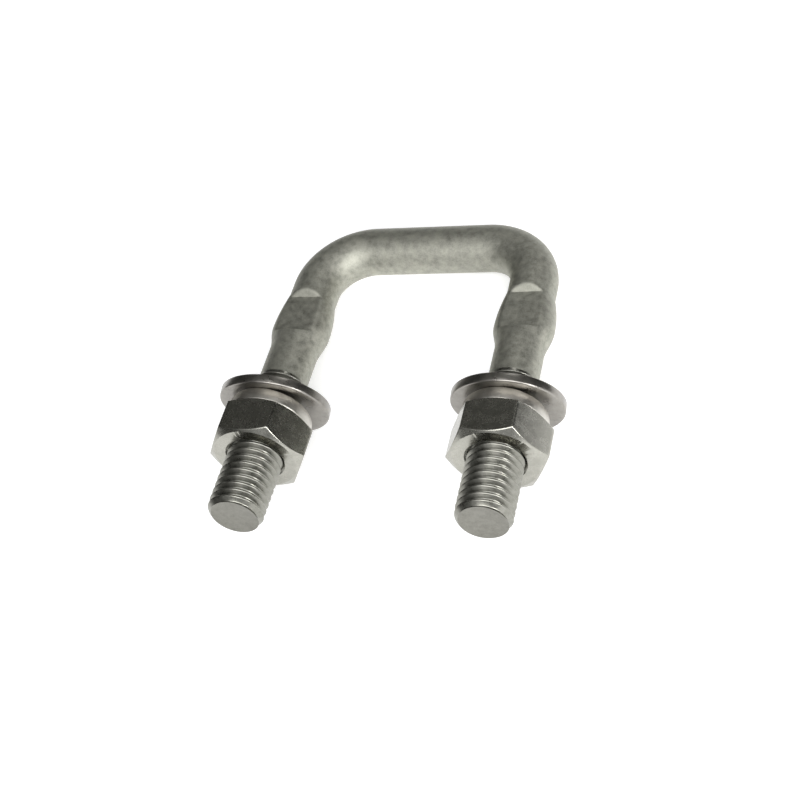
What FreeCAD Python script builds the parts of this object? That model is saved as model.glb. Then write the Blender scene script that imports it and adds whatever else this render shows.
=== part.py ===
import FreeCAD, Part
import os
import Sketcher
from FreeCAD import Rotation, Vector

# Square U-bolt of an overhead line clamp, with a flat washer, a spring washer and a hexagon
# nut on each leg, lying on a table. Lengths are in millimetres, angles in degrees.
# The bolt's own frame has the crossbar along X and both legs towards -Y, in the plane Z = 0.

SIZES = [
    # name, value, what it sets
    ("leg_spacing", 50.5, "between the leg axes, at the crossbar axis"),
    ("leg_splay", 1.2, "outward lean of each leg after bending"),
    ("leg_length", 75.5, "crossbar axis to thread end, along the leg"),
    ("thread_rise", 0.7, "how far the rolled thread stands proud of the round bar"),
    ("bend_radius", 12.2, "centre line of each bend"),
    ("press_start", 15.9, "crossbar axis to the pressed flats"),
    ("press_length", 11.4, "length of the pressed flats"),
    ("press_thickness", 7.8, "across the two flats"),
    ("press_width", 13.3, "widest place of the pressed zone"),
    ("press_lead", 2.3, "from the widest place to the end of the flats"),
    ("press_step", 1.4, "length of the sloped step into a flat"),
    ("press_crown", 0.15, "how far the spread metal beyond the flats stands above the bar"),
    ("press_fade", 3.9, "from the flats back to the round bar"),
    ("thread_start", 40.6, "crossbar axis to the first full thread"),
    ("thread_diameter", 12.0, "over the thread crests"),
    ("thread_pitch", 1.75, "one turn of the thread"),
    ("end_chamfer", 1.0, "length of the chamfer at the thread end"),
    ("washer_diameter", 24.0, "outside of the flat washer"),
    ("washer_clearance", 0.5, "around the thread, in the flat washer's hole"),
    ("washer_thickness", 2.0, "flat washer"),
    ("washer_edge", 0.4, "broken outer edge of the flat washer"),
    ("washer_lean", 13.0, "lean of the loose flat washer, its top towards the thread end"),
    ("washer_gap", 0.02, "between the leaning flat washer and the spring washer"),
    ("spring_place", 48.3, "crossbar axis to the inboard face of the spring washer"),
    ("spring_clearance", 0.15, "around the thread, in the spring washer's hole"),
    ("spring_section", 3.0, "side of the spring washer's square wire"),
    ("spring_edge", 0.3, "broken outer edges of the spring washer"),
    ("spring_slit", 1.8, "gap between the two ends"),
    ("spring_slit_angle", 20.0, "slope of the slit from the bolt's direction"),
    ("nut_flats", 19.0, "across the flats of the nut"),
    ("nut_height", 9.0, "nut, face to face"),
    ("nut_clearance", 0.05, "around the thread, in the nut's hole"),
    ("nut_countersink", 0.5, "widening of the hole at each face"),
    ("nut_corner_angle", 30.0, "chamfer on the corners of the nut"),
    ("nut_face_share", 0.95, "flat face of the nut, as a share of its flats"),
]

FULL_TURN = 360.0
THREAD_DEPTH_PER_PITCH = 0.6134   # metric thread, crest to root
TIP_DEPTH_SHARE = 0.6             # how far into the thread the end chamfer cuts
LEAST_CUT = 0.001                 # a cut that takes less than this, in mm3, has missed
LEFT, RIGHT = -1, 1
EDGE_MATCH = 0.0001               # how near an edge lies to the place it is looked for

doc = FreeCAD.newDocument("square_u_bolt_set")


def make_sheet(rows):
    """Write one row for each driving size and give its cell the size's name."""
    sheet = doc.addObject("Spreadsheet::Sheet", "Sizes")
    for row, (name, value, meaning) in enumerate(rows, start=1):
        sheet.set(f"A{row}", name)
        sheet.set(f"B{row}", str(value))
        sheet.set(f"C{row}", meaning)
        sheet.setAlias(f"B{row}", name)
    doc.recompute()
    return sheet


sheet = make_sheet(SIZES)


def size(formula):
    """Turn size names in a formula into references to their cells."""
    for name, _, _ in SIZES:
        formula = formula.replace(f"[{name}]", f"Sizes.{name}")
    return formula


def number(formula):
    """Work out a formula, for the first drawing of a sketch or for finding an edge."""
    result = sheet.evalExpression(size(formula))
    return float(getattr(result, "Value", result))


# Formulas that several pieces share.
THREAD_RADIUS = "([thread_diameter] / 2)"
BAR_RADIUS = f"({THREAD_RADIUS} - [thread_rise])"
BAR_DIAMETER = f"(2 * {BAR_RADIUS})"
THREAD_DEPTH = f"{THREAD_DEPTH_PER_PITCH} * [thread_pitch]"
TIP_RADIUS = f"({THREAD_RADIUS} - {TIP_DEPTH_SHARE} * {THREAD_DEPTH})"
PRESS_END = "([press_start] + [press_length])"
PRESS_PEAK = f"({PRESS_END} - [press_lead])"
FADE_END = f"({PRESS_END} + [press_fade])"
SPRING_RADIUS = f"({THREAD_RADIUS} + [spring_clearance] + [spring_section])"
NUT_PLACE = "([spring_place] + [spring_section])"
WASHER_RADIUS = "([washer_diameter] / 2)"
HALF_WASHER = "([washer_thickness] / 2)"


def new_body(label):
    body = doc.addObject("PartDesign::Body", label)
    body.Label = label
    body.AllowCompound = False
    return body


def origin_feature(body, role):
    return next(item for item in body.Origin.OriginFeatures if item.Role == role)


def new_sketch(body, name, plane):
    sketch = body.newObject("Sketcher::SketchObject", name)
    sketch.AttachmentSupport = [(origin_feature(body, plane), "")]
    sketch.MapMode = "FlatFace"
    return sketch


def shift_from_plane(feature, base, turn_axis, turn):
    """Shift an attached feature by three formulas, and turn it about one of its own axes."""
    feature.AttachmentOffset = FreeCAD.Placement(Vector(), Rotation(turn_axis, 1))
    for axis, formula in zip("xyz", base):
        feature.setExpression(f"AttachmentOffset.Base.{axis}", size(formula))
    feature.setExpression("AttachmentOffset.Rotation.Angle", size(turn))


def pin_point(sketch, geometry, end, along_x, along_y):
    """Hold one point of a sketch at two formulas, measured from the sketch's origin."""
    for kind, axis, formula in (("DistanceX", -2, along_x), ("DistanceY", -1, along_y)):
        if formula == "0":
            sketch.addConstraint(Sketcher.Constraint("PointOnObject", geometry, end, axis))
        else:
            index = sketch.addConstraint(
                Sketcher.Constraint(kind, -1, 1, geometry, end, number(formula)))
            sketch.setExpression(f"Constraints[{index}]", size(formula))


def outward_arc(start, end, radius):
    """The arc from start to end that bulges outwards, on an outline drawn counter-clockwise."""
    chord = end - start
    inward = Vector(-chord.y, chord.x, 0).normalize()
    centre_depth = (radius ** 2 - (chord.Length / 2) ** 2) ** 0.5
    middle = start + chord / 2 - inward * (radius - centre_depth)
    return Part.Arc(start, middle, end)


def draw_outline(sketch, corners, radii=None):
    """Draw a closed outline through corners that are pairs of formulas.

    The side that starts at a corner named in radii is an arc of that radius.
    """
    radii = radii or {}
    points = [Vector(number(x), number(y), 0) for x, y in corners]
    first = sketch.GeometryCount
    for index, start in enumerate(points):
        end = points[(index + 1) % len(points)]
        if index in radii:
            side = outward_arc(start, end, number(radii[index]))
        else:
            side = Part.LineSegment(start, end)
        sketch.addGeometry(side, False)
    for index in range(len(points)):
        following = first + (index + 1) % len(points)
        sketch.addConstraint(Sketcher.Constraint("Coincident", first + index, 2, following, 1))
    for index, (along_x, along_y) in enumerate(corners):
        pin_point(sketch, first + index, 1, along_x, along_y)
    for index, radius in radii.items():
        held = sketch.addConstraint(
            Sketcher.Constraint("Radius", first + index, number(radius)))
        sketch.setExpression(f"Constraints[{held}]", size(radius))


def draw_circle(sketch, diameter):
    """Draw a circle around the sketch's origin."""
    circle = sketch.addGeometry(Part.Circle(Vector(), Vector(0, 0, 1), number(diameter) / 2), False)
    pin_point(sketch, circle, 3, "0", "0")
    index = sketch.addConstraint(Sketcher.Constraint("Diameter", circle, number(diameter)))
    sketch.setExpression(f"Constraints[{index}]", size(diameter))


def revolve(body, kind, name, sketch):
    feature = body.newObject(kind, name)
    feature.Profile = sketch
    feature.ReferenceAxis = (sketch, ["V_Axis"])
    feature.Angle = FULL_TURN
    return feature


def pad(body, name, sketch, length):
    feature = body.newObject("PartDesign::Pad", name)
    feature.Profile = sketch
    feature.setExpression("Length", size(length))
    return feature


def circle_edges(shape, radius, height):
    """Name the circular edges of a shape that have this radius and lie at this height."""
    names = []
    for index, edge in enumerate(shape.Edges, start=1):
        curve = edge.Curve
        if isinstance(curve, Part.Circle):
            same_radius = abs(curve.Radius - radius) < EDGE_MATCH
            if same_radius and abs(curve.Center.z - height) < EDGE_MATCH:
                names.append(f"Edge{index}")
    return names


def break_edges(body, name, base, edges, width):
    chamfer = body.newObject("PartDesign::Chamfer", name)
    chamfer.Base = (base, edges)
    chamfer.setExpression("Size", size(width))
    doc.recompute()
    return chamfer


def volume_drops(before, after, name):
    if not after.Shape.Volume < before.Shape.Volume - LEAST_CUT:
        raise ValueError(f"{name} removed nothing")


# The bolt.

def draw_half_centre_line(body):
    """Half the crossbar, one bend and the plain part of a leg, in the plane of the bolt."""
    sketch = new_sketch(body, "half_centre_line", "XY_Plane")
    tangent_length = "[bend_radius] * tan((90 - [leg_splay]) / 2)"
    bar_end_x = f"[leg_spacing] / 2 + {FADE_END} * sin([leg_splay])"
    bar_end_y = f"-{FADE_END} * cos([leg_splay])"
    corner_x = number("[leg_spacing] / 2")
    reach = number(tangent_length)
    lean = Vector(number("sin([leg_splay])"), -number("cos([leg_splay])"), 0)
    bend_start = Vector(corner_x - reach, 0, 0)
    bend_end = Vector(corner_x, 0, 0) + lean * reach
    centre = Vector(bend_start.x, -number("[bend_radius]"), 0)
    middle_direction = (bend_start - centre) + (bend_end - centre)
    middle_direction.normalize()
    bend_middle = centre + middle_direction * number("[bend_radius]")
    bar_end = Vector(number(bar_end_x), number(bar_end_y), 0)
    crossbar = sketch.addGeometry(Part.LineSegment(Vector(0, 0, 0), bend_start), False)
    bend = sketch.addGeometry(Part.Arc(bend_start, bend_middle, bend_end), False)
    leg = sketch.addGeometry(Part.LineSegment(bend_end, bar_end), False)
    # Point 1 is a curve's start and point 2 its end. The arc runs counter-clockwise, so it
    # starts at the leg.
    sketch.addConstraint(Sketcher.Constraint("Coincident", crossbar, 1, -1, 1))
    sketch.addConstraint(Sketcher.Constraint("Horizontal", crossbar))
    sketch.addConstraint(Sketcher.Constraint("Tangent", crossbar, 2, bend, 2))
    sketch.addConstraint(Sketcher.Constraint("Tangent", bend, 1, leg, 1))
    radius = sketch.addConstraint(Sketcher.Constraint("Radius", bend, number("[bend_radius]")))
    sketch.setExpression(f"Constraints[{radius}]", size("[bend_radius]"))
    pin_point(sketch, leg, 2, bar_end_x, bar_end_y)
    reach_formula = f"[leg_spacing] / 2 - {tangent_length}"
    bend_place = sketch.addConstraint(
        Sketcher.Constraint("DistanceX", crossbar, 1, crossbar, 2, number(reach_formula)))
    sketch.setExpression(f"Constraints[{bend_place}]", size(reach_formula))
    return sketch


def leg_outline(body, name):
    """A sketch in the plane of the bolt, with its Y axis along one leg."""
    sketch = new_sketch(body, name, "XY_Plane")
    shift_from_plane(sketch, ("[leg_spacing] / 2", "0", "0"), Vector(0, 0, 1), "[leg_splay]")
    return sketch


def make_u_bolt():
    body = new_body("u_bolt")
    centre_line = draw_half_centre_line(body)
    bar_section = new_sketch(body, "bar_section", "YZ_Plane")
    draw_circle(bar_section, BAR_DIAMETER)
    bar = body.newObject("PartDesign::AdditivePipe", "bent_bar")
    bar.Profile = bar_section
    bar.Spine = (centre_line, ["Edge1", "Edge2", "Edge3"])
    doc.recompute()

    # The press spreads the bar into a barrel: slowly from the crossbar side, then quickly back.
    swell = f"([press_width] / 2 - {BAR_RADIUS})"
    rise = f"({PRESS_PEAK} - [press_start])"
    barrel_outline = leg_outline(body, "barrel_outline")
    draw_outline(barrel_outline, [
        ("0", f"-{FADE_END}"),
        (BAR_RADIUS, f"-{FADE_END}"),
        ("[press_width] / 2", f"-{PRESS_PEAK}"),
        (BAR_RADIUS, "-[press_start]"),
        ("0", "-[press_start]"),
    ], {2: f"({rise}^2 + {swell}^2) / (2 * {swell})"})
    barrel = revolve(body, "PartDesign::Revolution", "barrel", barrel_outline)
    doc.recompute()

    # Two flats are sunk into its top and bottom, with a sloped step at each end. Beyond them
    # the dies leave the barrel hardly higher than the bar.
    deep = "([press_thickness] / 2)"
    crown = f"({BAR_RADIUS} + [press_crown])"
    high = "[press_width]"
    slope = f"([press_step] / ({BAR_RADIUS} - {deep}))"
    pressed = barrel
    for name, sign in (("upper", ""), ("lower", "-")):
        outline = new_sketch(body, f"{name}_press_outline", "YZ_Plane")
        shift_from_plane(outline, ("0", "0", "[leg_spacing] / 2"), Vector(0, 1, 0), "[leg_splay]")
        draw_outline(outline, [
            ("-([press_start] + [press_step])", f"{sign}{deep}"),
            (f"-{PRESS_END}", f"{sign}{deep}"),
            (f"-({PRESS_END} + {slope} / 2 * ({crown} - {deep}))", f"{sign}{crown}"),
            (f"-{FADE_END}", f"{sign}{crown}"),
            (f"-{FADE_END}", f"{sign}{high}"),
            (f"-([press_start] + [press_step] - {slope} * ({high} - {deep}))", f"{sign}{high}"),
        ])
        flat = body.newObject("PartDesign::Pocket", f"{name}_flat")
        flat.Profile = outline
        flat.SideType = "Symmetric"
        flat.setExpression("Length", size("2 * [press_width]"))
        doc.recompute()
        volume_drops(pressed, flat, f"{name}_flat")
        pressed = flat

    # Beyond it the bar is round. The thread is rolled up from it, so it stands a little proud.
    stud_outline = leg_outline(body, "stud_outline")
    draw_outline(stud_outline, [
        ("0", f"-{FADE_END}"),
        (BAR_RADIUS, f"-{FADE_END}"),
        (BAR_RADIUS, "-([thread_start] - [thread_rise])"),
        (THREAD_RADIUS, "-[thread_start]"),
        (THREAD_RADIUS, "-([leg_length] - [end_chamfer])"),
        (TIP_RADIUS, "-[leg_length]"),
        ("0", "-[leg_length]"),
    ])
    revolve(body, "PartDesign::Revolution", "stud", stud_outline)
    doc.recompute()

    whole = body.newObject("PartDesign::Mirrored", "second_leg")
    whole.TransformMode = "Whole shape"
    whole.MirrorPlane = (origin_feature(body, "YZ_Plane"), [""])
    body.Tip = whole
    doc.recompute()
    return body


# The pieces on each leg. Each stands on its own XY plane, inboard face down, around Z.

def make_flat_washer(label):
    body = new_body(label)
    rings = new_sketch(body, "rings", "XY_Plane")
    draw_circle(rings, "[washer_diameter]")
    draw_circle(rings, "[thread_diameter] + 2 * [washer_clearance]")
    disc = pad(body, "disc", rings, "[washer_thickness]")
    doc.recompute()
    rim = circle_edges(disc.Shape, number(WASHER_RADIUS), number("[washer_thickness]"))
    break_edges(body, "broken_edge", disc, rim, "[washer_edge]")
    return body


def make_spring_washer(label):
    """A ring of square wire, pressed flat by the nut, with a sloping slit on its lower side."""
    body = new_body(label)
    hole_diameter = "([thread_diameter] + 2 * [spring_clearance])"
    outer_diameter = f"(2 * {SPRING_RADIUS})"
    rings = new_sketch(body, "rings", "XY_Plane")
    draw_circle(rings, outer_diameter)
    draw_circle(rings, hole_diameter)
    ring = pad(body, "ring", rings, "[spring_section]")
    doc.recompute()
    outer_radius = number(outer_diameter) / 2
    rims = circle_edges(ring.Shape, outer_radius, 0)
    rims += circle_edges(ring.Shape, outer_radius, number("[spring_section]"))
    broken = break_edges(body, "broken_edges", ring, rims, "[spring_edge]")

    # The slit runs from below the ring to above it, sloping round the bolt.
    slit_outline = new_sketch(body, "slit_outline", "XZ_Plane")
    half_gap = "[spring_slit] / 2"
    lean = "[spring_section] * tan([spring_slit_angle])"
    draw_outline(slit_outline, [
        (f"-({half_gap} + {lean})", "-[spring_section] / 2"),
        (f"{half_gap} - {lean}", "-[spring_section] / 2"),
        (f"{half_gap} + {lean}", "[spring_section] * 3 / 2"),
        (f"-({half_gap} - {lean})", "[spring_section] * 3 / 2"),
    ])
    slit = body.newObject("PartDesign::Pocket", "slit")
    slit.Profile = slit_outline
    slit.Reversed = True
    slit.setExpression("Length", size(outer_diameter))
    doc.recompute()
    volume_drops(broken, slit, "slit")
    return body


def make_hex_nut(label):
    body = new_body(label)
    hexagon = new_sketch(body, "hexagon", "XY_Plane")
    corner_radius = "([nut_flats] / 2 / cos(30))"
    draw_outline(hexagon, [
        (f"{corner_radius} * cos({60 * corner})", f"{corner_radius} * sin({60 * corner})")
        if corner % 3 else (f"{corner_radius} * cos({60 * corner})", "0")
        for corner in range(6)
    ])
    blank = pad(body, "blank", hexagon, "[nut_height]")
    doc.recompute()

    # Corners are turned off to a cone at both faces.
    face_radius = "([nut_flats] / 2 * [nut_face_share])"
    far_radius = f"({corner_radius} + [nut_countersink])"
    fall = f"(({far_radius} - {face_radius}) * tan([nut_corner_angle]))"
    cone = new_sketch(body, "corner_cones", "XZ_Plane")
    draw_outline(cone, [(face_radius, "0"), (far_radius, "0"), (far_radius, fall)])
    draw_outline(cone, [
        (face_radius, "[nut_height]"),
        (far_radius, f"[nut_height] - {fall}"),
        (far_radius, "[nut_height]"),
    ])
    corners = revolve(body, "PartDesign::Groove", "turned_corners", cone)
    doc.recompute()
    volume_drops(blank, corners, "turned_corners")

    hole_radius = f"({THREAD_RADIUS} + [nut_clearance])"
    mouth_radius = f"({hole_radius} + [nut_countersink])"
    bore = new_sketch(body, "bore_outline", "XZ_Plane")
    draw_outline(bore, [
        ("0", "0"),
        (mouth_radius, "0"),
        (hole_radius, "[nut_countersink]"),
        (hole_radius, "[nut_height] - [nut_countersink]"),
        (mouth_radius, "[nut_height]"),
        ("0", "[nut_height]"),
    ])
    hole = revolve(body, "PartDesign::Groove", "threaded_hole", bore)
    doc.recompute()
    volume_drops(corners, hole, "threaded_hole")
    return body


# Places. Each flat washer is loose. It leans until its top touches the spring washer, and its
# lower rim stands on the table, so the bolt lies on its crossbar and on those two rims.

TOUCH_REACH = f"(({SPRING_RADIUS} - [spring_edge]) * sin([washer_lean]))"
WASHER_MIDDLE = (
    f"([spring_place] - ({HALF_WASHER} + [washer_gap] + {TOUCH_REACH}) / cos([washer_lean]))")
RIM_ABOVE_MIDDLE = f"({HALF_WASHER} - [washer_edge])"
FOOT_DEPTH = f"({WASHER_RADIUS} * cos([washer_lean]) + {RIM_ABOVE_MIDDLE} * sin([washer_lean]))"
FOOT_REACH = (
    f"(({WASHER_MIDDLE} + {RIM_ABOVE_MIDDLE} * cos([washer_lean])"
    f" - {WASHER_RADIUS} * sin([washer_lean])) * cos([leg_splay]))")
REST_TILT = (
    f"(acos({BAR_RADIUS} / sqrt({FOOT_DEPTH}^2 + {FOOT_REACH}^2))"
    f" - atan({FOOT_REACH} / {FOOT_DEPTH}))")
TIP_REACH = (
    f"([leg_length] * cos([leg_splay]) * cos({REST_TILT})"
    f" + {TIP_RADIUS} * sqrt((sin([leg_splay]) * cos({REST_TILT}))^2 + sin({REST_TILT})^2))")


def lay_down(body):
    """Tilt the bolt so that it rests, and centre its length on the origin."""
    centre_shift = f"({TIP_REACH} - {BAR_RADIUS}) / 2"
    body.setExpression("Placement", size(
        f"placement(vector(0; {centre_shift}; {BAR_RADIUS});"
        f" rotation(vector(1; 0; 0); -{REST_TILT}))"))


def put_on_leg(body, side, place, lean="0", middle="0"):
    """Put a piece on the axis of one leg, its Z axis towards the thread end.

    The middle of a leaning piece, at this height on its own Z axis, stays on the leg's axis.
    """
    body.setExpression("Placement", size(
        f"u_bolt.Placement"
        f" * placement(vector({side} * [leg_spacing] / 2; 0; 0);"
        f" rotation(vector(0; 0; 1); {side} * [leg_splay]))"
        f" * placement(vector(0; -{place}; 0); rotation(vector(1; 0; 0); 90 + {lean}))"
        f" * placement(vector(0; 0; -{middle}); rotation(vector(1; 0; 0); 0))"))


def export(bodies):
    """Check every object and every piece, then write one file for each piece."""
    doc.recompute()
    for item in doc.Objects:
        if "Invalid" in item.State or "Error" in item.State:
            raise ValueError(f"{item.Name} did not build")
    for body in bodies:
        if body.Shape.isNull() or not body.Shape.isValid():
            raise ValueError(f"{body.Label} has no valid shape")
    os.makedirs("parts", exist_ok=True)
    for body in bodies:
        body.Shape.exportStep(f"parts/{body.Label}.step")
        box = body.Shape.BoundBox
        print(f"{body.Label}: {body.Shape.Volume:.1f} mm3,"
              f" X {box.XMin:.2f} to {box.XMax:.2f},"
              f" Y {box.YMin:.2f} to {box.YMax:.2f},"
              f" Z {box.ZMin:.2f} to {box.ZMax:.2f}")


u_bolt = make_u_bolt()
lay_down(u_bolt)
pieces = [u_bolt]
for side_name, side in (("left", LEFT), ("right", RIGHT)):
    flat_washer = make_flat_washer(f"{side_name}_flat_washer")
    put_on_leg(flat_washer, side, WASHER_MIDDLE, "[washer_lean]", HALF_WASHER)
    spring_washer = make_spring_washer(f"{side_name}_spring_washer")
    put_on_leg(spring_washer, side, "[spring_place]")
    hex_nut = make_hex_nut(f"{side_name}_hex_nut")
    put_on_leg(hex_nut, side, NUT_PLACE)
    pieces += [flat_washer, spring_washer, hex_nut]
export(pieces)
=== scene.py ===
# %% [markdown]
# # A square U-bolt with washers and nuts
# The bolt clamps a fitting of an overhead line. It is a bent steel bar with a pressed flat on
# each leg and a rolled thread at each end, and each thread carries a flat washer, a spring
# washer and a hexagon nut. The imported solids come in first. They fix every place and size, so
# each piece made here stands exactly where its solid stands.

# %% Load the solids
import math

import bmesh
import bpy
from mathutils import Matrix, Vector


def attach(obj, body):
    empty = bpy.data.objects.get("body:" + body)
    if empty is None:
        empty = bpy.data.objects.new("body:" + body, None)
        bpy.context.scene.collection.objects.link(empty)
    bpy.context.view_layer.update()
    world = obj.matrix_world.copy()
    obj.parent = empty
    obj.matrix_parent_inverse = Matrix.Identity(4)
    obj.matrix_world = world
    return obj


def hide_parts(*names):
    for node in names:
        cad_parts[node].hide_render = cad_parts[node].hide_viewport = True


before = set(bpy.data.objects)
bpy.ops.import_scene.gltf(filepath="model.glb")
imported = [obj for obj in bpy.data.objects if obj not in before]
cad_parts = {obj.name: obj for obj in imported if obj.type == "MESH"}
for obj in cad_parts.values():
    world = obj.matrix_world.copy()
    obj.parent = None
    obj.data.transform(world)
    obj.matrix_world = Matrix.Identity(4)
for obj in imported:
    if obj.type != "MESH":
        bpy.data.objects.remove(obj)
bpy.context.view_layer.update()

# %% [markdown]
# ## Sizes
# These are the sizes of the solids in millimetres, so that a threaded end or a rounded rim
# fits the piece that it replaces. Whatever is round has its radius here, and places along a
# leg count from the middle line of the crossbar. Blender works in metres, and one factor turns
# them.

# %% Sizes in millimetres
MM = 0.001
LEG_SPACING = 50.5
LEG_SPLAY = math.radians(1.2)
LEG_LENGTH = 75.5
BAR_RADIUS = 5.3
BEND_RADIUS = 12.2

PITCH = 1.75
THREAD_RADIUS = 6.0
THREAD_DEPTH = 0.6134 * PITCH                      # metric thread, crest to root
TIP_RADIUS = THREAD_RADIUS - 0.6 * THREAD_DEPTH    # the chamfer cuts this share of the thread
END_CHAMFER = 1.0
THREAD_START = 40.6                                # the first full turn
BAR_END = THREAD_START - 0.7                       # the bar's skin gives way to the thread's

WASHER_THICKNESS = 2.0
WASHER_RADIUS = 12.0
WASHER_HOLE = 6.5
ROLLED_EDGE = 0.4                                  # on the side that the punch came from
WASHER_LEAN = math.radians(13)
WASHER_GAP = 0.02                                  # between the two washers of a leg

SPRING_PLACE = 48.3
SPRING_SIDE = 3.0                                  # of the square wire
SPRING_HOLE = 6.15
WIRE_EDGE = 0.3

# %% [markdown]
# ## Where the bolt lies
# The flat washers are loose. Each one leans until its top touches the spring washer, and its
# lower rim stands on the table, so the bolt rests on its crossbar and on those two rims. A
# little trigonometry gives the place of each flat washer and the tilt of the bolt. One matrix
# lays the whole bolt down. A second one carries a piece from its own axis to its place on a
# leg, and each leg leans outwards by a little more than a degree.

# %% Places
touch_reach = (SPRING_HOLE + SPRING_SIDE - WIRE_EDGE) * math.sin(WASHER_LEAN)
washer_middle = SPRING_PLACE - (
    WASHER_THICKNESS / 2 + WASHER_GAP + touch_reach) / math.cos(WASHER_LEAN)

rim_rise = WASHER_THICKNESS / 2 - ROLLED_EDGE
foot_depth = WASHER_RADIUS * math.cos(WASHER_LEAN) + rim_rise * math.sin(WASHER_LEAN)
foot_reach = math.cos(LEG_SPLAY) * (
    washer_middle + rim_rise * math.cos(WASHER_LEAN) - WASHER_RADIUS * math.sin(WASHER_LEAN))
rest_tilt = (math.acos(BAR_RADIUS / math.hypot(foot_depth, foot_reach))
             - math.atan(foot_reach / foot_depth))

tip_reach = LEG_LENGTH * math.cos(LEG_SPLAY) * math.cos(rest_tilt) + TIP_RADIUS * math.hypot(
    math.sin(LEG_SPLAY) * math.cos(rest_tilt), math.sin(rest_tilt))
crossbar_place = Vector((0, (tip_reach - BAR_RADIUS) / 2, BAR_RADIUS)) * MM
lie_down = Matrix.Translation(crossbar_place) @ Matrix.Rotation(-rest_tilt, 4, "X")


def on_leg(side, place):
    """The place of a piece drawn around Z, with +Z towards the thread end. side is -1 or 1."""
    corner = Matrix.Translation(Vector((side * LEG_SPACING / 2, 0, 0)) * MM)
    lean = Matrix.Rotation(side * LEG_SPLAY, 4, "Z")
    along = Matrix.Translation(Vector((0, -place, 0)) * MM)
    return lie_down @ corner @ lean @ along @ Matrix.Rotation(math.radians(90), 4, "X")


print(f"tilt: {math.degrees(rest_tilt):.4f} degrees, flat washers at {washer_middle:.4f} mm")
print("right thread end at", [round(c, 5) for c in on_leg(1, LEG_LENGTH).translation])

# %% [markdown]
# ## Helpers for every piece
# A piece starts as a bmesh, which is a mesh in memory that operators can change. At the end it
# becomes an object that rides on a body, so it moves when that body moves. Its vertices hold
# its place, and the object itself stays at the origin. Faces that meet at a sharp angle keep a
# crisp edge, and all others are shaded as one smooth surface.

# %% Move and finish a piece
def moved(bm, matrix):
    bmesh.ops.transform(bm, matrix=matrix, verts=bm.verts)


def finish(bm, name, node, body, materials, sharp):
    """Make an object of the bmesh. Edges of more than sharp degrees stay crisp."""
    bmesh.ops.recalc_face_normals(bm, faces=bm.faces)
    mesh = bpy.data.meshes.new(name)
    bm.to_mesh(mesh)
    bm.free()
    mesh.shade_smooth()
    mesh.set_sharp_from_angle(angle=math.radians(sharp))
    for material in materials:
        mesh.materials.append(material)
    piece = bpy.data.objects.new(name, mesh)
    bpy.context.scene.collection.objects.link(piece)
    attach(piece, body)
    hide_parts(node)
    print(f"{name}: {len(mesh.vertices)} vertices, {len(mesh.polygons)} faces")


# %% [markdown]
# ## Helpers for turned pieces
# Threads, washers and nuts are round, so each is an outline that is spun around Z. Where an
# operator leaves two vertices in one place, they are welded. A bevel breaks the edges that lie
# along a piece, and smooth_min rounds the corner where one form cuts into another.

# %% Draw, spin, weld and bevel
WELD = 1e-6    # metres; what lies nearer than this is in the same place


def edges_in(geom):
    return [item for item in geom if isinstance(item, bmesh.types.BMEdge)]


def outline(bm, points, closed=False):
    """A few vertices joined by edges in the plane X-Z, ready to be spun around Z."""
    verts = [bm.verts.new((x * MM, 0, z * MM)) for x, z in points]
    pairs = list(zip(verts, verts[1:])) + ([(verts[-1], verts[0])] if closed else [])
    return verts + [bm.edges.new(pair) for pair in pairs]


def spun(bm, geom, steps, angle=math.tau, rise=0.0):
    """Spin an outline around Z. A full turn joins up with itself, and rise makes a screw of it."""
    full = angle == math.tau
    last = bmesh.ops.spin(
        bm, geom=geom, cent=(0, 0, 0), axis=(0, 0, 1), dvec=(0, 0, rise / steps * MM),
        angle=angle, steps=steps, use_merge=full, use_duplicate=False)["geom_last"]
    bmesh.ops.remove_doubles(bm, verts=bm.verts, dist=WELD)
    return last


def bevelled(bm, edges, width, segments):
    bmesh.ops.bevel(bm, geom=edges, offset=width * MM, affect="EDGES", segments=segments,
                    profile=0.5, material=-1, clamp_overlap=True)


def smooth_min(a, b, soft):
    """The smaller of two lengths, with the corner between them rounded over soft."""
    near = max(soft - abs(a - b), 0) / soft
    return min(a, b) - near * near * soft / 4


# %% [markdown]
# ## Colours and nodes
# Colours are written as on screen, and one function turns them into the linear values that the
# shader works with. A second one adds a node to a material with its settings and its links.

# %% Colour and node helpers
def linear(hex_code):
    channels = [int(hex_code[i:i + 2], 16) / 255 for i in (1, 3, 5)]
    return [c / 12.92 if c <= 0.04045 else ((c + 0.055) / 1.055) ** 2.4 for c in channels] + [1.0]


def add_node(material, kind, settings=None, links=None):
    """Add a node. Settings name its options or its sockets, and links name input: output.

    Sockets that share one name are given by their number.
    """
    tree = material.node_tree
    node = tree.nodes.new(kind)
    for name, value in (settings or {}).items():
        if isinstance(name, str) and hasattr(node, name):
            setattr(node, name, value)
        else:
            node.inputs[name].default_value = value
    for name, output in (links or {}).items():
        tree.links.new(output, node.inputs[name])
    return node


# %% [markdown]
# ## One recipe for steel
# A metal shows almost only reflections, so the mottle changes how rough it is as well as how
# light it is. A noise for the patches and a finer one for the grain are mixed to one tone, which
# picks the colour and the roughness. The grain alone makes shallow dents. The grooves of a thread
# are painted darker, as painted shade with some grime in it, and Pointiness, which is low in a
# hollow, tells where.

# %% Mix a steel
# painted shade, with some grime: the colour that darkens the grooves of a thread
GROOVE_GRIME_AND_PAINTED_SHADE = "#4A4944"
FROM_COLOUR, TO_COLOUR, MIXED_COLOUR = 6, 7, 2    # a Mix node's sockets for colours


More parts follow.
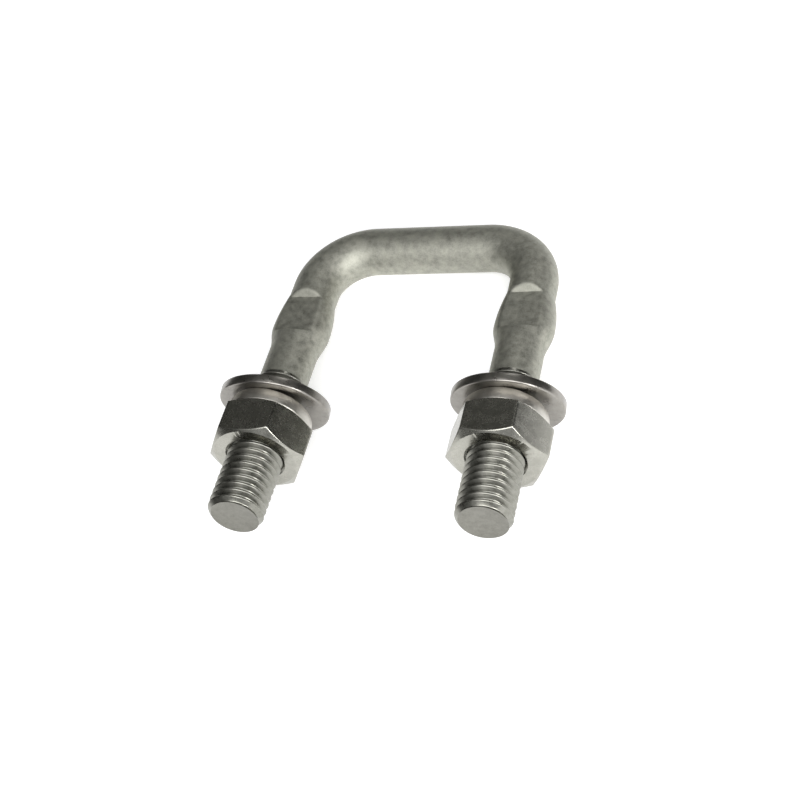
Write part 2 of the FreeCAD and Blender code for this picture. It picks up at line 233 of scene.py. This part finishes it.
def steel(name, patches, grain, dents, stops, roughness, grooves=None):
    """A steel with patches, grain and dents in millimetres, and a range of roughness.

    Grooves are the two values of pointiness between which the painted shade and grime in a hollow
    fade out.
    """
    material = bpy.data.materials.new(name)
    material.use_nodes = True
    shader = material.node_tree.nodes["Principled BSDF"]
    shader.inputs["Metallic"].default_value = 1.0
    links = material.node_tree.links
    place = add_node(material, "ShaderNodeTexCoord").outputs["Object"]
    large = add_node(material, "ShaderNodeTexNoise",
                     {"Scale": 1 / (patches * MM), "Detail": 3.0, "Roughness": 0.55},
                     {"Vector": place}).outputs["Fac"]
    fine = add_node(material, "ShaderNodeTexNoise",
                    {"Scale": 1 / (grain * MM), "Detail": 4.0, "Roughness": 0.65},
                    {"Vector": place}).outputs["Fac"]
    tone = add_node(material, "ShaderNodeMix", {"Factor": 0.4},
                    {"A": large, "B": fine}).outputs["Result"]
    ramp = add_node(material, "ShaderNodeValToRGB", links={"Fac": tone})
    elements = ramp.color_ramp.elements
    while len(elements) < len(stops):
        elements.new(0.5)
    for element, (position, code) in zip(elements, stops):
        element.position = position
        element.color = linear(code)
    colour = ramp.outputs["Color"]
    # painted shade and grime: the hollows of the mesh are mixed towards the groove colour
    if grooves:
        hollow = add_node(material, "ShaderNodeNewGeometry").outputs["Pointiness"]
        open_air = add_node(material, "ShaderNodeMapRange",
                            {"From Min": grooves[0], "From Max": grooves[1]}, {"Value": hollow})
        shaded = add_node(material, "ShaderNodeMix",
                          {"data_type": "RGBA", FROM_COLOUR: linear(GROOVE_GRIME_AND_PAINTED_SHADE)},
                          {"Factor": open_air.outputs["Result"], TO_COLOUR: colour})
        colour = shaded.outputs[MIXED_COLOUR]
    links.new(colour, shader.inputs["Base Color"])
    rough = add_node(material, "ShaderNodeMapRange",
                     {"From Min": 0.35, "From Max": 0.65,
                      "To Min": roughness[0], "To Max": roughness[1]}, {"Value": tone})
    links.new(rough.outputs["Result"], shader.inputs["Roughness"])
    bump = add_node(material, "ShaderNodeBump", {"Strength": 1.0, "Distance": dents * MM},
                    {"Height": fine})
    links.new(bump.outputs["Normal"], shader.inputs["Normal"])
    return material


# %% [markdown]
# ## The six finishes
# The bar was bent, pressed and coated with zinc, which has gone a dull grey. Its mottle is about
# 1.4 mm wide, with a grain of 0.3 mm in it. The real grain is finer than that, and it is drawn
# as coarse as it needs to show. The rolled thread is smoother and shines more, and its end was
# sheared and has stayed dull. The nuts were cut, and the washers were punched from rolled sheet
# or coiled from drawn wire, so these mirror what stands around them.

# %% Make the finishes
bar_steel = steel(
    "mottled_coated_bar_steel", patches=1.4, grain=0.3, dents=0.03,
    stops=[(0.3, "#8B8B82"), (0.5, "#A6A69C"), (0.7, "#BBBAAF")], roughness=(0.54, 0.66))
# the grooves of the thread get painted shade and grime from pointiness
thread_steel = steel(
    "rolled_thread_steel", patches=1.5, grain=0.3, dents=0.004,
    stops=[(0.3, "#76766E"), (0.7, "#97968F")], roughness=(0.26, 0.36), grooves=(0.37, 0.475))
end_steel = steel(
    "sheared_bar_end_steel", patches=1.2, grain=0.3, dents=0.03,
    stops=[(0.3, "#75746D"), (0.7, "#92918A")], roughness=(0.50, 0.62))
nut_steel = steel(
    "machined_nut_steel", patches=2.0, grain=0.4, dents=0.001,
    stops=[(0.3, "#93928A"), (0.7, "#ABAAA2")], roughness=(0.22, 0.30))
washer_steel = steel(
    "punched_washer_steel", patches=2.0, grain=0.35, dents=0.003,
    stops=[(0.3, "#7F7C77"), (0.7, "#9D9A94")], roughness=(0.26, 0.36))
spring_steel = steel(
    "coiled_spring_steel", patches=2.0, grain=0.35, dents=0.003,
    stops=[(0.3, "#B0ADA6"), (0.7, "#CFCCC5")], roughness=(0.36, 0.46))
for made in (bar_steel, thread_steel, end_steel, nut_steel, washer_steel, spring_steel):
    print(f"{made.name}: {len(made.node_tree.nodes)} nodes")

# %% [markdown]
# ## The bent bar
# The bar is one round rod, so a circle that travels along it makes the whole surface. The
# circle is extruded along half the crossbar, spun around the bend and extruded down the leg in
# short steps. The short steps leave enough rings for the next step to press the flats in.

# %% Draw the right half of the bar
RING_POINTS = 96
CROSSBAR_STEPS, BEND_STEPS, LEG_STEPS = 12, 40, 126


def extruded(bm, edges, shift):
    """Carry a ring of edges one step further and return the new ring."""
    new = bmesh.ops.extrude_edge_only(bm, edges=edges)["geom"]
    verts = [item for item in new if isinstance(item, bmesh.types.BMVert)]
    bmesh.ops.translate(bm, vec=shift, verts=verts)
    return [edge for edge in edges_in(new) if all(vert in verts for vert in edge.verts)]


bar = bmesh.new()
bmesh.ops.create_circle(bar, cap_ends=False, radius=BAR_RADIUS * MM, segments=RING_POINTS)
moved(bar, Matrix.Rotation(math.radians(90), 4, "Y"))
ring = bar.edges[:]

turn = math.radians(90) - LEG_SPLAY
corner_reach = BEND_RADIUS * math.tan(turn / 2)
crossbar_half = LEG_SPACING / 2 - corner_reach
for _ in range(CROSSBAR_STEPS):
    ring = extruded(bar, ring, Vector((crossbar_half / CROSSBAR_STEPS, 0, 0)) * MM)
bent = bmesh.ops.spin(
    bar, geom=ring, cent=Vector((crossbar_half, -BEND_RADIUS, 0)) * MM, axis=(0, 0, -1),
    dvec=(0, 0, 0), angle=turn, steps=BEND_STEPS, use_merge=False, use_duplicate=False)
ring = edges_in(bent["geom_last"])
down_leg = Vector((math.sin(LEG_SPLAY), -math.cos(LEG_SPLAY), 0))
for _ in range(LEG_STEPS):
    ring = extruded(bar, ring, down_leg * (BAR_END - corner_reach) / LEG_STEPS * MM)
bmesh.ops.contextual_create(bar, geom=ring)
print(f"rings: {(BAR_END - corner_reach) / LEG_STEPS:.3f} mm apart on the leg")

# %% [markdown]
# ## The pressed flats
# A press squeezed each leg between two dies, so the steel went out sideways as it went down.
# Each ring is widened by a profile along the leg, and then its height is cut down to the die.
# At the bend side the die left a sloping step, which shows as a bright crescent. At the thread
# side the steel only fades out.

# %% Press the leg
PRESS_START = 15.9
PRESS_STEP = 1.4           # length of the sloping step into a flat
PRESS_PEAK = 25.0          # where the leg is widest
PRESS_END = 27.3
FADE_END = 31.2            # the leg is round again from here on
PRESS_HALF_WIDTH = 6.65
FLAT_HALF_HEIGHT = 3.9
CROWN_HALF_HEIGHT = 5.45   # the spread steel past the flats stands above the bar
DIE_EDGE = 0.35            # the border of a flat is rounded over this
DIE_REACH = 1.0            # that rounding ends within this distance of the pressed part


def swell(along):
    """How much wider than the bar the leg is, in millimetres, at this place along it."""
    if along < PRESS_PEAK:
        rise = min(max((along - PRESS_START) / (PRESS_PEAK - PRESS_START), 0), 1)
        return (PRESS_HALF_WIDTH - BAR_RADIUS) * (1 - (1 - rise) ** 2)
    fall = min((along - PRESS_PEAK) / (FADE_END - PRESS_PEAK), 1)
    return (PRESS_HALF_WIDTH - BAR_RADIUS) * (1 - fall * fall * (3 - 2 * fall))


def die_height(along):
    """How far the die stands off the middle of the leg. Past its ends it is clear of the bar."""
    slope = (BAR_RADIUS - FLAT_HALF_HEIGHT) / PRESS_STEP
    end_slope = (CROWN_HALF_HEIGHT - FLAT_HALF_HEIGHT) / (PRESS_STEP / 2)
    step_in = BAR_RADIUS - (along - PRESS_START) * slope
    step_out = FLAT_HALF_HEIGHT + (along - PRESS_END) * end_slope
    return max(FLAT_HALF_HEIGHT, step_in, min(step_out, CROWN_HALF_HEIGHT))


leg_frame = Matrix.Translation(Vector((LEG_SPACING / 2, 0, 0)) * MM) @ Matrix.Rotation(
    LEG_SPLAY, 4, "Z")
into_leg = leg_frame.inverted()
for vert in bar.verts:
    place = into_leg @ vert.co
    along = -place.y / MM
    if PRESS_START - DIE_REACH < along < FADE_END + DIE_REACH:
        place.x *= 1 + swell(along) / BAR_RADIUS
        height = smooth_min(abs(place.z) / MM, die_height(along), DIE_EDGE)
        place.z = math.copysign(height * MM, place.z)
        vert.co = leg_frame @ place
print(f"pressed: {2 * FLAT_HALF_HEIGHT:.1f} mm high, {2 * PRESS_HALF_WIDTH:.1f} mm wide")

# %% [markdown]
# ## The other half
# Both legs are alike, so the half is copied across the middle and joined there.

# %% Mirror and finish the bar
bmesh.ops.mirror(bar, geom=bar.verts[:] + bar.edges[:] + bar.faces[:], axis="X",
                 merge_dist=WELD, matrix=Matrix.Identity(4))
bmesh.ops.remove_doubles(bar, verts=bar.verts, dist=WELD)
moved(bar, lie_down)
finish(bar, "bent_bar", "u_bolt", "u_bolt", [bar_steel], sharp=35)

# %% [markdown]
# ## The rolled threads
# A thread is one small profile, a crest between two half roots, carried round and up at the
# same time. Spinning it with a rise gives that screw, and one pitch per turn makes each turn
# meet the last. At its start the crests rise out of the bar and the grooves sink into it, and at
# its end a cone is turned on it, so the radius of each vertex is kept within those limits. A
# plane then cuts the ends square, and the outer end stands out a little inside its rim.

# %% Roll a thread on each leg
TURN_STEPS = 56
# Each point is a place along the bolt and a height above the root.
PROFILE = [(0, 0), (0.12, 0.02), (0.24, 0.13), (0.68, 0.90), (0.77, 1.03), (PITCH / 2, 1.07)]
PROFILE += [(PITCH - along, up) for along, up in reversed(PROFILE[:-1])]
CREST_RISE = 1.2      # of the first crests out of the bar, per millimetre along it
GROOVE_FALL = 0.25    # of the first grooves into the bar, per millimetre along it
END_RIM, END_BULGE = 0.5, 0.12


def kept_radius(radius, along):
    """The radius of a vertex, kept outside the run-out and inside the climb and the cone."""
    run_out = min(BAR_RADIUS - GROOVE_FALL * (along - THREAD_START), BAR_RADIUS)
    climb = BAR_RADIUS + CREST_RISE * max(along - BAR_END, 0)
    cone = TIP_RADIUS + (LEG_LENGTH - along) * (THREAD_RADIUS - TIP_RADIUS) / END_CHAMFER
    return min(max(radius, run_out), climb, cone)


def cut_square(bm, place, keep_above):
    """Cut the thread off at this place, and return the face that closes it there."""
    bmesh.ops.bisect_plane(
        bm, geom=bm.verts[:] + bm.edges[:] + bm.faces[:], dist=WELD / 10,
        plane_co=(0, 0, place * MM), plane_no=(0, 0, 1),
        clear_inner=keep_above, clear_outer=not keep_above)
    rim = [edge for edge in bm.edges if edge.is_boundary
           and all(abs(vert.co.z - place * MM) < WELD for vert in edge.verts)]
    return bmesh.ops.contextual_create(bm, geom=rim)["faces"]


def thread(side, name):
    bm = bmesh.new()
    first = BAR_END - PITCH
    turns = (LEG_LENGTH + PITCH - first) / PITCH
    root = THREAD_RADIUS - THREAD_DEPTH
    geom = outline(bm, [(root + up, first + along) for along, up in PROFILE])
    spun(bm, geom, round(turns * TURN_STEPS), angle=turns * math.tau, rise=turns * PITCH)
    for vert in bm.verts:
        radius = vert.co.xy.length / MM
        vert.co.xy *= kept_radius(radius, vert.co.z / MM) / radius
    cut_square(bm, BAR_END, keep_above=True)
    end = cut_square(bm, LEG_LENGTH, keep_above=False)
    rim = bmesh.ops.inset_region(bm, faces=end, thickness=END_RIM * MM, depth=END_BULGE * MM)
    for face in end + rim["faces"]:
        face.material_index = 1
    moved(bm, on_leg(side, 0))
    finish(bm, name, "u_bolt", "u_bolt", [thread_steel, end_steel], sharp=50)


thread(-1, "left_thread")
thread(1, "right_thread")

# %% [markdown]
# ## The flat washers
# A flat washer is punched out of sheet, which rounds the edge on the side that the punch came
# from and leaves the other one crisp. A rectangle spun once around gives the ring, and a bevel
# on its circular edges gives both kinds of edge. The nuts aren't tight, so each flat washer
# hangs askew in its clearance, with its upper rim nearer to the nut and its lower rim further in.

# %% Punch the flat washers
WASHER_STEPS = 144
CRISP_EDGE = 0.12


def both_rims(bm, height):
    """The edges of the outer circle and of the hole at this height."""
    return [edge for radius in (WASHER_RADIUS, WASHER_HOLE) for edge in bm.edges
            if all(abs(vert.co.xy.length - radius * MM) < WELD
                   and abs(vert.co.z - height * MM) < WELD for vert in edge.verts)]


def flat_washer(side, node, body):
    bm = bmesh.new()
    corners = [(WASHER_HOLE, 0), (WASHER_RADIUS, 0),
               (WASHER_RADIUS, WASHER_THICKNESS), (WASHER_HOLE, WASHER_THICKNESS)]
    spun(bm, outline(bm, corners, closed=True), WASHER_STEPS)
    bevelled(bm, both_rims(bm, WASHER_THICKNESS), ROLLED_EDGE, segments=4)
    bevelled(bm, both_rims(bm, 0), CRISP_EDGE, segments=2)
    moved(bm, Matrix.Rotation(WASHER_LEAN, 4, "X")
          @ Matrix.Translation((0, 0, -WASHER_THICKNESS / 2 * MM)))
    moved(bm, on_leg(side, washer_middle))
    finish(bm, f"{node}_rounded", node, body, [washer_steel], sharp=60)


flat_washer(-1, "left_flat_washer", "left_washers")
flat_washer(1, "right_flat_washer", "right_washers")

# %% [markdown]
# ## The spring washers
# A spring washer is coiled from square wire and cut through at a slope, and the nut has
# pressed it flat. The square is spun not quite all the way round, its two ends are closed, and
# a twist about the axis turns both ends to the slope of the cut.

# %% Coil the spring washers
SLIT_WIDTH, SLIT_SLOPE = 1.8, math.radians(20)
WIRE_STEPS = 120
SQUARE_EDGE = math.radians(60)    # only the wire's square edges turn by more than this


def spring_washer(side, node, body):
    bm = bmesh.new()
    outer = SPRING_HOLE + SPRING_SIDE
    middle = SPRING_HOLE + SPRING_SIDE / 2
    corners = [(SPRING_HOLE, 0), (outer, 0), (outer, SPRING_SIDE), (SPRING_HOLE, SPRING_SIDE)]
    gap = SLIT_WIDTH / middle
    wire = outline(bm, corners, closed=True)
    last = spun(bm, wire, WIRE_STEPS, angle=math.tau - gap)
    for end in (wire, last):
        bmesh.ops.contextual_create(bm, geom=edges_in(end))
    bmesh.ops.rotate(bm, cent=(0, 0, 0), verts=bm.verts,
                     matrix=Matrix.Rotation(gap / 2 - math.radians(90), 3, "Z"))
    square_edges = [edge for edge in bm.edges if edge.calc_face_angle(0) > SQUARE_EDGE]
    bevelled(bm, square_edges, WIRE_EDGE, segments=3)
    for vert in bm.verts:
        twist = math.tan(SLIT_SLOPE) * (vert.co.z / MM - SPRING_SIDE / 2) / middle
        vert.co.xy = Matrix.Rotation(twist, 2) @ vert.co.xy
    moved(bm, on_leg(side, SPRING_PLACE))
    finish(bm, f"{node}_coiled", node, body, [spring_steel], sharp=50)


spring_washer(-1, "left_spring_washer", "left_washers")
spring_washer(1, "right_spring_washer", "right_washers")

# %% [markdown]
# ## The nuts
# A nut is a slice of hexagon bar, bored and turned at both faces, so its corners end in curved
# arcs. The turned outline is spun around first. Then every vertex that lies outside the
# hexagon is drawn in to it, with the six corners slightly rounded.

# %% Turn the nuts
NUT_FLATS, NUT_HEIGHT = 19.0, 9.0
SECTOR = math.radians(60)
CHAMFER_ANGLE = math.radians(30)
CORNER_RADIUS = NUT_FLATS / 2 / math.cos(SECTOR / 2)
FACE_RADIUS = 0.95 * NUT_FLATS / 2    # the flat face is a little smaller than the hexagon
CONE_DEPTH = (CORNER_RADIUS - FACE_RADIUS) * math.tan(CHAMFER_ANGLE)
BORE, MOUTH, COUNTERSINK = 6.05, 6.55, 0.5
CORNER_EDGE = 0.2                     # the six corners are rounded over this
NUT_STEPS, CONE_STEPS, SIDE_STEPS = 360, 12, 8


def hexagon(angle):
    """Distance from the axis to the nearest flat, at this angle around the nut."""
    return NUT_FLATS / 2 / math.cos(angle % SECTOR - SECTOR / 2)


def nut_outline(bm):
    near_cone = [(FACE_RADIUS + (CORNER_RADIUS - FACE_RADIUS) * step / CONE_STEPS,
                  CONE_DEPTH * step / CONE_STEPS) for step in range(CONE_STEPS + 1)]
    side_height = NUT_HEIGHT - 2 * CONE_DEPTH
    side = [(CORNER_RADIUS, CONE_DEPTH + side_height * step / SIDE_STEPS)
            for step in range(1, SIDE_STEPS)]
    far_cone = [(radius, NUT_HEIGHT - height) for radius, height in reversed(near_cone)]
    bore = [(MOUTH, NUT_HEIGHT), (BORE, NUT_HEIGHT - COUNTERSINK), (BORE, COUNTERSINK), (MOUTH, 0)]
    return outline(bm, near_cone + side + far_cone + bore, closed=True)


def hex_nut(side, node, body):
    bm = bmesh.new()
    spun(bm, nut_outline(bm), NUT_STEPS)
    for vert in bm.verts:
        radius = vert.co.xy.length / MM
        angle = math.atan2(vert.co.y, vert.co.x)
        vert.co.xy *= smooth_min(radius, hexagon(angle), CORNER_EDGE) / radius
    moved(bm, on_leg(side, SPRING_PLACE + SPRING_SIDE))
    finish(bm, f"{node}_turned", node, body, [nut_steel], sharp=30)


hex_nut(-1, "left_hex_nut", "left_nut")
hex_nut(1, "right_hex_nut", "right_nut")

# %% [markdown]
# ## The floor
# The photograph has a plain white ground. The floor glows a little, but only for the camera and
# in reflections, so the ground turns white with no more light on the steel.

# %% Lay the floor
FLOOR_REACH = 3.0    # half of its side, in metres
FLOOR_GLOW = 0.38


def stage_plane(name, corners, material):
    """A flat piece of the stage. Its corners are in metres."""
    bm = bmesh.new()
    bmesh.ops.contextual_create(bm, geom=[bm.verts.new(corner) for corner in corners])
    mesh = bpy.data.meshes.new(name)
    bm.to_mesh(mesh)
    bm.free()
    mesh.materials.append(material)
    piece = bpy.data.objects.new(name, mesh)
    bpy.context.scene.collection.objects.link(piece)
    return piece


def matt_paint(name, code):
    material = bpy.data.materials.new(name)
    material.use_nodes = True
    shader = material.node_tree.nodes["Principled BSDF"]
    shader.inputs["Base Color"].default_value = linear(code)
    shader.inputs["Roughness"].default_value = 0.9
    return material


table_paint = matt_paint("white_table_paint", "#F4F4F4")
paint_nodes = table_paint.node_tree.nodes
matt = paint_nodes["Principled BSDF"].outputs["BSDF"]
rays = add_node(table_paint, "ShaderNodeLightPath").outputs
seen = rays["Is Camera Ray"]
for other in ("Is Glossy Ray", "Is Transmission Ray"):
    seen = add_node(table_paint, "ShaderNodeMath", {"operation": "MAXIMUM"},
                    {0: seen, 1: rays[other]}).outputs["Value"]
glow = add_node(table_paint, "ShaderNodeEmission",
                {"Color": linear("#FFFFFF"), "Strength": FLOOR_GLOW}).outputs["Emission"]
lit = add_node(table_paint, "ShaderNodeAddShader", links={0: matt, 1: glow}).outputs["Shader"]
chosen = add_node(table_paint, "ShaderNodeMixShader", links={0: seen, 1: matt, 2: lit})
table_paint.node_tree.links.new(
    chosen.outputs["Shader"], paint_nodes["Material Output"].inputs["Surface"])
stage_plane("floor", [(-FLOOR_REACH, -FLOOR_REACH, 0), (FLOOR_REACH, -FLOOR_REACH, 0),
                      (FLOOR_REACH, FLOOR_REACH, 0), (-FLOOR_REACH, FLOOR_REACH, 0)], table_paint)
print("floor glow:", FLOOR_GLOW)

# %% [markdown]
# ## Dark cards
# Steel mirrors what stands around it. The upper faces of the nuts are almost black in the
# photograph, so something dark stood behind the bolt and beside it. Three dark cards outside
# the picture take its place, and only reflections see them.

# %% Stand the dark cards
def dark_card(name, code, corners):
    card = stage_plane(name, corners, matt_paint(f"{name}_paint", code))
    card.visible_camera = False
    card.visible_diffuse = False
    card.visible_shadow = False


dark_card("back_card", "#484845", [
    (-0.50, 0.28, 0.04), (0.45, 0.28, 0.04), (0.45, 0.10, 0.50), (-0.50, 0.10, 0.50)])
dark_card("left_card", "#2E2E2C", [
    (-0.165, -0.50, 0.0), (-0.165, 0.28, 0.0), (-0.26, 0.28, 0.45), (-0.26, -0.50, 0.45)])
dark_card("right_card", "#2E2E2C", [
    (0.086, 0.01, 0.001), (0.086, 0.26, 0.001), (0.26, 0.26, 0.20), (0.26, 0.01, 0.20)])

# %% [markdown]
# ## Lamps and room
# A large soft lamp in front gives the broad light on the steel, and smaller ones on the right
# and above fill it. A small window behind draws the thin bright lines on rims and thread
# crests. The room itself gives a weak, even, slightly cool light.

# %% Light the stage
LAMP_TARGET = Vector((0, 0, 0.01))


def lamp(name, place, width, watts):
    """A square lamp that points at the bolt. Its place and width are in metres."""
    data = bpy.data.lights.new(name, "AREA")
    data.shape = "SQUARE"
    data.size = width
    data.energy = watts
    piece = bpy.data.objects.new(name, data)
    piece.location = place
    piece.rotation_euler = (LAMP_TARGET - Vector(place)).to_track_quat("-Z", "Y").to_euler()
    bpy.context.scene.collection.objects.link(piece)
    print(f"{name}: {watts} W")


lamp("front_softbox", place=(0.18, -0.50, 0.62), width=0.6, watts=5.4)
lamp("right_softbox", place=(0.50, -0.30, 0.28), width=0.2, watts=2.6)
lamp("top_softbox", place=(0.05, 0.20, 0.80), width=0.2, watts=0.5)
lamp("back_window", place=(0.077, 0.181, 0.188), width=0.05, watts=0.035)

world = bpy.data.worlds.new("soft_room")
bpy.context.scene.world = world
world.use_nodes = True
room = world.node_tree.nodes["Background"].inputs
room["Color"].default_value = linear("#E9EAEC")
room["Strength"].default_value = 0.45

# %% [markdown]
# ## The camera
# The camera looks down on the thread ends from the front. Its place in metres, its turn and its
# lens come from matching the outline of the bolt in the photograph.

# %% Camera and view
CAMERA_PLACE = (0.13593, -0.19829, 0.32001)
CAMERA_TURN = [math.radians(angle) for angle in (33.239, 17.243, 10.844)]
CAMERA_LENS = 82.437
SENSOR_WIDTH = 36

camera_data = bpy.data.cameras.new("camera")
camera_data.sensor_width = SENSOR_WIDTH
camera_data.lens = CAMERA_LENS
camera_data.clip_start = 0.01
camera = bpy.data.objects.new("camera", camera_data)
camera.location = CAMERA_PLACE
camera.rotation_euler = CAMERA_TURN
bpy.context.scene.collection.objects.link(camera)
bpy.context.scene.camera = camera
bpy.context.scene.view_settings.view_transform = "Standard"
print(f"camera: {Vector(CAMERA_PLACE).length:.3f} m away, lens {CAMERA_LENS} mm")
